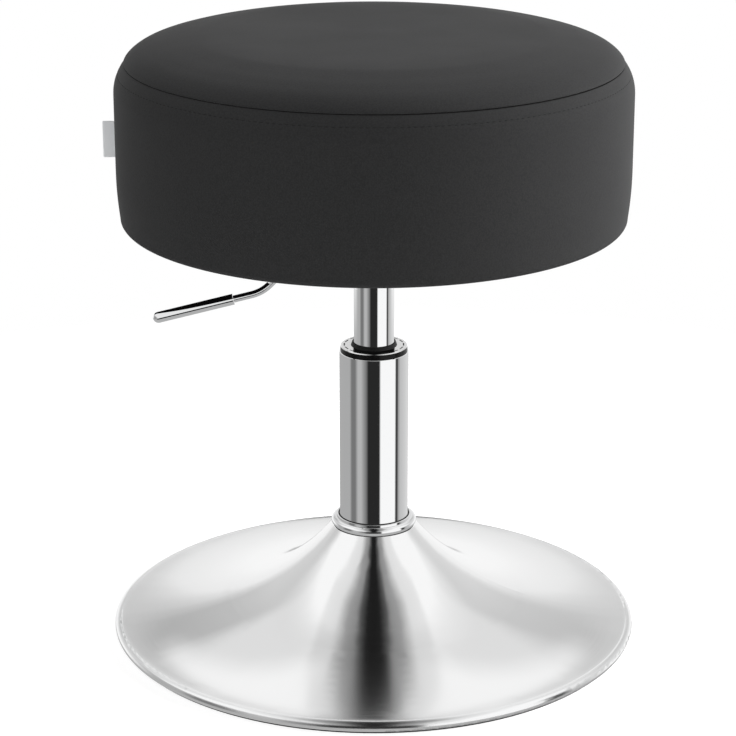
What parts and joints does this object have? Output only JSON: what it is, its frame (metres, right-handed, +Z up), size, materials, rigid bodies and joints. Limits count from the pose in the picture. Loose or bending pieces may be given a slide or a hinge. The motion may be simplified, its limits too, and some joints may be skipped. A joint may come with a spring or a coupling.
{
  "type": "vanity stool",
  "caption": "Round backless swivel stool: a padded seat on a gas-lift column in a flared trumpet base, with a bent lever under the seat that releases its height.",
  "frame": {"origin": "on the floor at the middle of the base", "axes": "+Z up along the column, -X towards the release lever, -Y towards the picture's camera"},
  "size_m": [0.385, 0.385, 0.444],
  "materials": {
    "satin_steel": "satin",
    "chrome": "polished",
    "plain_steel": "satin",
    "aluminium": "satin",
    "brass": "satin",
    "black_paint": "satin",
    "rubber": "matte",
    "grey_plastic": "satin",
    "black_plastic": "satin",
    "plywood": "matte",
    "foam": "matte",
    "black_leather": "satin",
    "black_fabric": "matte",
    "grey_fabric": "satin"
  },
  "bodies": {
    "base": {"base_shell": "satin_steel", "base_floor_ring": "rubber", "base_bottom_plate": "black_paint", "base_hub": "black_paint", "neck_trim_ring": "chrome", "column_tube": "chrome", "guide_bush": "grey_plastic", "wiper_seal": "rubber", "bearing_lower_washer": "plain_steel"},
    "cage": {"bearing_cage": "brass", "bearing_balls": "plain_steel"},
    "rod": {"bearing_upper_washer": "plain_steel", "piston_rod": "plain_steel", "rod_clip": "plain_steel", "bump_stop": "rubber", "piston": "aluminium", "piston_seal": "rubber"},
    "seat": {"gas_cylinder": "chrome", "rod_guide": "black_plastic", "valve_body": "aluminium", "plate_socket": "black_paint", "seat_plate": "black_paint", "lever_bracket": "black_paint", "lever_pivot": "plain_steel", "seat_screws": "plain_steel", "screw_washers": "plain_steel", "tee_nuts": "plain_steel", "seat_board": "plywood", "foam_core": "foam", "cover_top_panel": "black_leather", "cover_side_band": "black_leather", "dust_cover": "black_fabric", "hem_staples": "plain_steel", "side_tag": "grey_fabric"},
    "lever": {"lever_rocker": "plain_steel", "lever_rod": "chrome", "lever_handle": "chrome"},
    "valve_pin": {"release_pin": "plain_steel"}
  },
  "joints": [
    {"name": "seat_swivel", "type": "hinge", "parent": "base", "child": "rod", "pos_m": [0, 0, 0], "axis": [0, 0, 1], "continuous": true},
    {"name": "bearing_roll", "type": "hinge", "parent": "base", "child": "cage", "pos_m": [0, 0, 0], "axis": [0, 0, 1], "continuous": true},
    {"name": "seat_lift", "type": "slide", "parent": "rod", "child": "seat", "axis": [0, 0, 1], "range_m": [-0.04, 0.08]},
    {"name": "release_lever", "type": "hinge", "parent": "seat", "child": "lever", "pos_m": [-0.026, 0, 0.3028], "axis": [0, 1, 0], "range_deg": [0, 7], "stiffness_Nm_per_rad": 8, "springref_deg": -2.86},
    {"name": "valve_press", "type": "slide", "parent": "seat", "child": "valve_pin", "axis": [0, 0, -1], "range_m": [0, 0.0035]}
  ],
  "couplings": [
    {"joint": "bearing_roll", "follows": "seat_swivel", "ratio": 0.5},
    {"joint": "valve_press", "follows": "release_lever", "m_per_rad": 0.0285}
  ]
}
